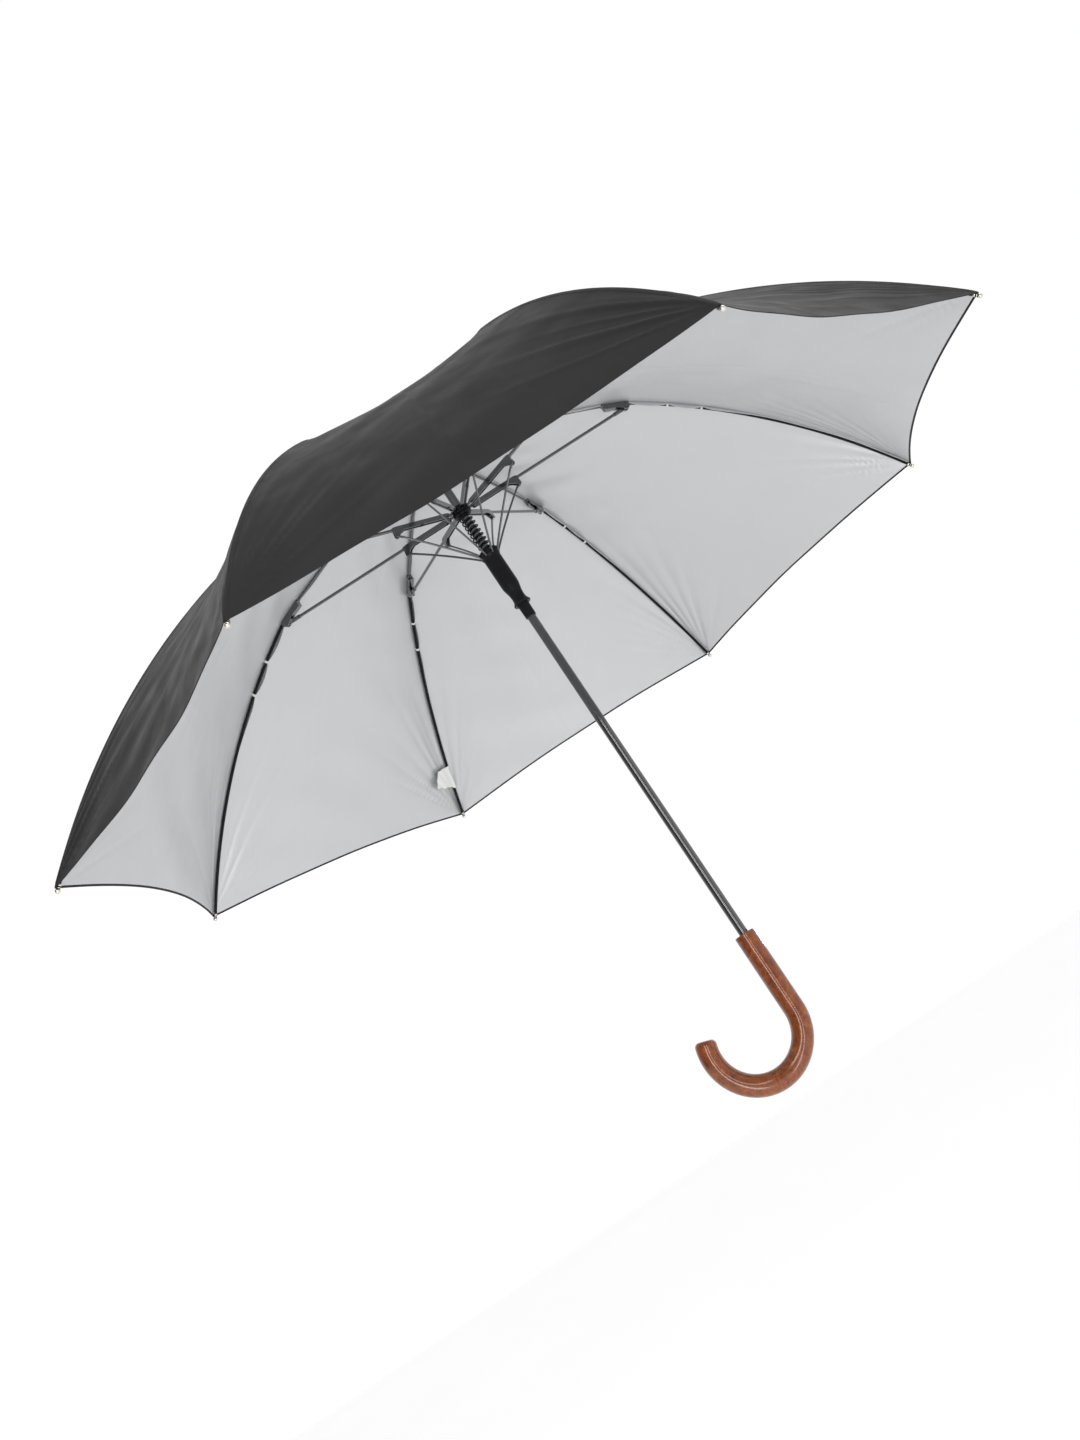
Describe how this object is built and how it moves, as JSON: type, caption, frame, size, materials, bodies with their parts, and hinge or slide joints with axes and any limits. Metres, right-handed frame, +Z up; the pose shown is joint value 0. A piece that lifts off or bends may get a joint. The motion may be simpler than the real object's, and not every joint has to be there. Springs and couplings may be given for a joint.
{
  "type": "stick umbrella",
  "caption": "Open stick umbrella with a silver-lined black canopy, auto-open slider frame, push button and crook handle.",
  "frame": {"origin": "on the shaft's axis, in the middle of the handle's straight grip", "axes": "+Z up the shaft towards the ferrule, +X from the shaft towards the crook's free end, so the crook lies in the XZ plane"},
  "size_m": [1.0314, 1.0314, 0.8365],
  "materials": {
    "black_steel": "gloss black lacquer",
    "black_plastic": "satin moulded black",
    "black_rod": "black glass-fibre rod",
    "cloth": "woven black outside, silver coated inside",
    "strap_cloth": "woven black",
    "wood": "glossy lacquered burl look",
    "chrome": "polished",
    "spring_steel": "bright spring steel",
    "label": "white woven satin, blank"
  },
  "bodies": {
    "shaft": {"shaft_tube": "black_steel", "ferrule": "black_plastic", "crown_cap": "strap_cloth", "top_notch": "black_plastic", "notch_wire": "spring_steel", "handle": "wood", "button_plate": "chrome", "spring_seat": "black_plastic", "opening_spring": "spring_steel", "button_spring": "spring_steel"},
    "button": {"push_button": "chrome"},
    "hub": {"hub": "black_plastic", "hub_wire": "spring_steel", "damper_spring": "black_steel"},
    "runner": {"runner": "black_plastic", "runner_wire": "spring_steel", "spring_plunger": "spring_steel"},
    "rib_1": {"rib_inner_1": "black_steel", "canopy_1": "cloth"},
    "rib_tip_1": {"rib_outer_1": "black_rod"},
    "stretcher_1": {"stretcher_1": "black_steel"},
    "link_1": {"link_1": "black_steel"},
    "rib_2": {"rib_inner_2": "black_steel", "canopy_2": "cloth"},
    "rib_tip_2": {"rib_outer_2": "black_rod"},
    "stretcher_2": {"stretcher_2": "black_steel"},
    "link_2": {"link_2": "black_steel"},
    "rib_3": {"rib_inner_3": "black_steel", "canopy_3": "cloth"},
    "rib_tip_3": {"rib_outer_3": "black_rod"},
    "stretcher_3": {"stretcher_3": "black_steel"},
    "link_3": {"link_3": "black_steel"},
    "rib_4": {"rib_inner_4": "black_steel", "canopy_4": "cloth"},
    "rib_tip_4": {"rib_outer_4": "black_rod"},
    "stretcher_4": {"stretcher_4": "black_steel"},
    "link_4": {"link_4": "black_steel"},
    "rib_5": {"rib_inner_5": "black_steel", "canopy_5": "cloth"},
    "rib_tip_5": {"rib_outer_5": "black_rod"},
    "stretcher_5": {"stretcher_5": "black_steel"},
    "link_5": {"link_5": "black_steel"},
    "rib_6": {"rib_inner_6": "black_steel", "canopy_6": "cloth"},
    "rib_tip_6": {"rib_outer_6": "black_rod", "closure_strap": "strap_cloth", "strap_snap": "chrome"},
    "stretcher_6": {"stretcher_6": "black_steel"},
    "link_6": {"link_6": "black_steel"},
    "rib_7": {"rib_inner_7": "black_steel", "canopy_7": "cloth"},
    "rib_tip_7": {"rib_outer_7": "black_rod", "care_label": "label"},
    "stretcher_7": {"stretcher_7": "black_steel"},
    "link_7": {"link_7": "black_steel"},
    "rib_8": {"rib_inner_8": "black_steel", "canopy_8": "cloth"},
    "rib_tip_8": {"rib_outer_8": "black_rod"},
    "stretcher_8": {"stretcher_8": "black_steel"},
    "link_8": {"link_8": "black_steel"}
  },
  "joints": [
    {"name": "canopy_fold", "type": "hinge", "parent": "shaft", "child": "rib_1", "pos_m": [0.00785, 0.00325, 0.67], "axis": [-0.3827, 0.9239, 0], "range_deg": [0, 78.5], "stiffness_Nm_per_rad": 1.5, "springref_deg": -85.94, "deforming": ["canopy_1", "opening_spring"]},
    {"name": "rib_1_flex", "type": "hinge", "parent": "rib_1", "child": "rib_tip_1", "pos_m": [0.24446, 0.10126, 0.6356], "axis": [-0.3827, 0.9239, 0], "range_deg": [-26, 0]},
    {"name": "stretcher_1_pivot", "type": "hinge", "parent": "rib_1", "child": "stretcher_1", "pos_m": [0.243, 0.10065, 0.62981], "axis": [-0.3827, 0.9239, 0], "range_deg": [-157, 0]},
    {"name": "link_1_pivot", "type": "hinge", "parent": "stretcher_1", "child": "link_1", "pos_m": [0.07509, 0.03111, 0.59352], "axis": [-0.3827, 0.9239, 0], "range_deg": [0, 37.33]},
    {"name": "rib_2_fold", "type": "hinge", "parent": "shaft", "child": "rib_2", "pos_m": [0.00325, 0.00785, 0.67], "axis": [-0.9239, 0.3827, 0], "range_deg": [0, 78.5], "deforming": ["canopy_2"]},
    {"name": "rib_2_flex", "type": "hinge", "parent": "rib_2", "child": "rib_tip_2", "pos_m": [0.10126, 0.24446, 0.6356], "axis": [-0.9239, 0.3827, 0], "range_deg": [-26, 0]},
    {"name": "stretcher_2_pivot", "type": "hinge", "parent": "rib_2", "child": "stretcher_2", "pos_m": [0.10065, 0.243, 0.62981], "axis": [-0.9239, 0.3827, 0], "range_deg": [-157, 0]},
    {"name": "link_2_pivot", "type": "hinge", "parent": "stretcher_2", "child": "link_2", "pos_m": [0.03111, 0.07509, 0.59352], "axis": [-0.9239, 0.3827, 0], "range_deg": [0, 37.33]},
    {"name": "rib_3_fold", "type": "hinge", "parent": "shaft", "child": "rib_3", "pos_m": [-0.00325, 0.00785, 0.67], "axis": [-0.9239, -0.3827, 0], "range_deg": [0, 78.5], "deforming": ["canopy_3"]},
    {"name": "rib_3_flex", "type": "hinge", "parent": "rib_3", "child": "rib_tip_3", "pos_m": [-0.10126, 0.24446, 0.6356], "axis": [-0.9239, -0.3827, 0], "range_deg": [-26, 0]},
    {"name": "stretcher_3_pivot", "type": "hinge", "parent": "rib_3", "child": "stretcher_3", "pos_m": [-0.10065, 0.243, 0.62981], "axis": [-0.9239, -0.3827, 0], "range_deg": [-157, 0]},
    {"name": "link_3_pivot", "type": "hinge", "parent": "stretcher_3", "child": "link_3", "pos_m": [-0.03111, 0.07509, 0.59352], "axis": [-0.9239, -0.3827, 0], "range_deg": [0, 37.33]},
    {"name": "rib_4_fold", "type": "hinge", "parent": "shaft", "child": "rib_4", "pos_m": [-0.00785, 0.00325, 0.67], "axis": [-0.3827, -0.9239, 0], "range_deg": [0, 78.5], "deforming": ["canopy_4"]},
    {"name": "rib_4_flex", "type": "hinge", "parent": "rib_4", "child": "rib_tip_4", "pos_m": [-0.24446, 0.10126, 0.6356], "axis": [-0.3827, -0.9239, 0], "range_deg": [-26, 0]},
    {"name": "stretcher_4_pivot", "type": "hinge", "parent": "rib_4", "child": "stretcher_4", "pos_m": [-0.243, 0.10065, 0.62981], "axis": [-0.3827, -0.9239, 0], "range_deg": [-157, 0]},
    {"name": "link_4_pivot", "type": "hinge", "parent": "stretcher_4", "child": "link_4", "pos_m": [-0.07509, 0.03111, 0.59352], "axis": [-0.3827, -0.9239, 0], "range_deg": [0, 37.33]},
    {"name": "rib_5_fold", "type": "hinge", "parent": "shaft", "child": "rib_5", "pos_m": [-0.00785, -0.00325, 0.67], "axis": [0.3827, -0.9239, 0], "range_deg": [0, 78.5], "deforming": ["canopy_5"]},
    {"name": "rib_5_flex", "type": "hinge", "parent": "rib_5", "child": "rib_tip_5", "pos_m": [-0.24446, -0.10126, 0.6356], "axis": [0.3827, -0.9239, 0], "range_deg": [-26, 0]},
    {"name": "stretcher_5_pivot", "type": "hinge", "parent": "rib_5", "child": "stretcher_5", "pos_m": [-0.243, -0.10065, 0.62981], "axis": [0.3827, -0.9239, 0], "range_deg": [-157, 0]},
    {"name": "link_5_pivot", "type": "hinge", "parent": "stretcher_5", "child": "link_5", "pos_m": [-0.07509, -0.03111, 0.59352], "axis": [0.3827, -0.9239, 0], "range_deg": [0, 37.33]},
    {"name": "rib_6_fold", "type": "hinge", "parent": "shaft", "child": "rib_6", "pos_m": [-0.00325, -0.00785, 0.67], "axis": [0.9239, -0.3827, 0], "range_deg": [0, 78.5], "deforming": ["canopy_6"]},
    {"name": "rib_6_flex", "type": "hinge", "parent": "rib_6", "child": "rib_tip_6", "pos_m": [-0.10126, -0.24446, 0.6356], "axis": [0.9239, -0.3827, 0], "range_deg": [-26, 0]},
    {"name": "stretcher_6_pivot", "type": "hinge", "parent": "rib_6", "child": "stretcher_6", "pos_m": [-0.10065, -0.243, 0.62981], "axis": [0.9239, -0.3827, 0], "range_deg": [-157, 0]},
    {"name": "link_6_pivot", "type": "hinge", "parent": "stretcher_6", "child": "link_6", "pos_m": [-0.03111, -0.07509, 0.59352], "axis": [0.9239, -0.3827, 0], "range_deg": [0, 37.33]},
    {"name": "rib_7_fold", "type": "hinge", "parent": "shaft", "child": "rib_7", "pos_m": [0.00325, -0.00785, 0.67], "axis": [0.9239, 0.3827, 0], "range_deg": [0, 78.5], "deforming": ["canopy_7"]},
    {"name": "rib_7_flex", "type": "hinge", "parent": "rib_7", "child": "rib_tip_7", "pos_m": [0.10126, -0.24446, 0.6356], "axis": [0.9239, 0.3827, 0], "range_deg": [-26, 0]},
    {"name": "stretcher_7_pivot", "type": "hinge", "parent": "rib_7", "child": "stretcher_7", "pos_m": [0.10065, -0.243, 0.62981], "axis": [0.9239, 0.3827, 0], "range_deg": [-157, 0]},
    {"name": "link_7_pivot", "type": "hinge", "parent": "stretcher_7", "child": "link_7", "pos_m": [0.03111, -0.07509, 0.59352], "axis": [0.9239, 0.3827, 0], "range_deg": [0, 37.33]},
    {"name": "rib_8_fold", "type": "hinge", "parent": "shaft", "child": "rib_8", "pos_m": [0.00785, -0.00325, 0.67], "axis": [0.3827, 0.9239, 0], "range_deg": [0, 78.5], "deforming": ["canopy_8"]},
    {"name": "rib_8_flex", "type": "hinge", "parent": "rib_8", "child": "rib_tip_8", "pos_m": [0.24446, -0.10126, 0.6356], "axis": [0.3827, 0.9239, 0], "range_deg": [-26, 0]},
    {"name": "stretcher_8_pivot", "type": "hinge", "parent": "rib_8", "child": "stretcher_8", "pos_m": [0.243, -0.10065, 0.62981], "axis": [0.3827, 0.9239, 0], "range_deg": [-157, 0]},
    {"name": "link_8_pivot", "type": "hinge", "parent": "stretcher_8", "child": "link_8", "pos_m": [0.07509, -0.03111, 0.59352], "axis": [0.3827, 0.9239, 0], "range_deg": [0, 37.33]},
    {"name": "hub_pivot", "type": "hinge", "parent": "stretcher_1", "child": "hub", "pos_m": [0.00785, 0.00325, 0.58962], "axis": [-0.3827, 0.9239, 0], "range_deg": [0, 78.5]},
    {"name": "runner_slide", "type": "slide", "parent": "hub", "child": "runner", "axis": [0, 0, 1], "range_m": [0, 0.03791], "deforming": ["damper_spring"]},
    {"name": "button_press", "type": "slide", "parent": "shaft", "child": "button", "axis": [1, 0, 0], "range_m": [0, 0.0016], "stiffness_N_per_m": 400, "springref_m": -0.002, "deforming": ["button_spring"]}
  ],
  "couplings": [
    {"joint": "rib_1_flex", "follows": "canopy_fold", "ratio": -0.33121},
    {"joint": "stretcher_1_pivot", "follows": "canopy_fold", "ratio": -2},
    {"joint": "link_1_pivot", "follows": "canopy_fold", "ratio": 0.47559},
    {"joint": "rib_2_fold", "follows": "canopy_fold", "ratio": 1},
    {"joint": "rib_2_flex", "follows": "canopy_fold", "ratio": -0.33121},
    {"joint": "stretcher_2_pivot", "follows": "canopy_fold", "ratio": -2},
    {"joint": "link_2_pivot", "follows": "canopy_fold", "ratio": 0.47559},
    {"joint": "rib_3_fold", "follows": "canopy_fold", "ratio": 1},
    {"joint": "rib_3_flex", "follows": "canopy_fold", "ratio": -0.33121},
    {"joint": "stretcher_3_pivot", "follows": "canopy_fold", "ratio": -2},
    {"joint": "link_3_pivot", "follows": "canopy_fold", "ratio": 0.47559},
    {"joint": "rib_4_fold", "follows": "canopy_fold", "ratio": 1},
    {"joint": "rib_4_flex", "follows": "canopy_fold", "ratio": -0.33121},
    {"joint": "stretcher_4_pivot", "follows": "canopy_fold", "ratio": -2},
    {"joint": "link_4_pivot", "follows": "canopy_fold", "ratio": 0.47559},
    {"joint": "rib_5_fold", "follows": "canopy_fold", "ratio": 1},
    {"joint": "rib_5_flex", "follows": "canopy_fold", "ratio": -0.33121},
    {"joint": "stretcher_5_pivot", "follows": "canopy_fold", "ratio": -2},
    {"joint": "link_5_pivot", "follows": "canopy_fold", "ratio": 0.47559},
    {"joint": "rib_6_fold", "follows": "canopy_fold", "ratio": 1},
    {"joint": "rib_6_flex", "follows": "canopy_fold", "ratio": -0.33121},
    {"joint": "stretcher_6_pivot", "follows": "canopy_fold", "ratio": -2},
    {"joint": "link_6_pivot", "follows": "canopy_fold", "ratio": 0.47559},
    {"joint": "rib_7_fold", "follows": "canopy_fold", "ratio": 1},
    {"joint": "rib_7_flex", "follows": "canopy_fold", "ratio": -0.33121},
    {"joint": "stretcher_7_pivot", "follows": "canopy_fold", "ratio": -2},
    {"joint": "link_7_pivot", "follows": "canopy_fold", "ratio": 0.47559},
    {"joint": "rib_8_fold", "follows": "canopy_fold", "ratio": 1},
    {"joint": "rib_8_flex", "follows": "canopy_fold", "ratio": -0.33121},
    {"joint": "stretcher_8_pivot", "follows": "canopy_fold", "ratio": -2},
    {"joint": "link_8_pivot", "follows": "canopy_fold", "ratio": 0.47559},
    {"joint": "hub_pivot", "follows": "canopy_fold", "ratio": 1},
    {"joint": "runner_slide", "follows": "canopy_fold", "m_per_rad": 0.027666}
  ]
}
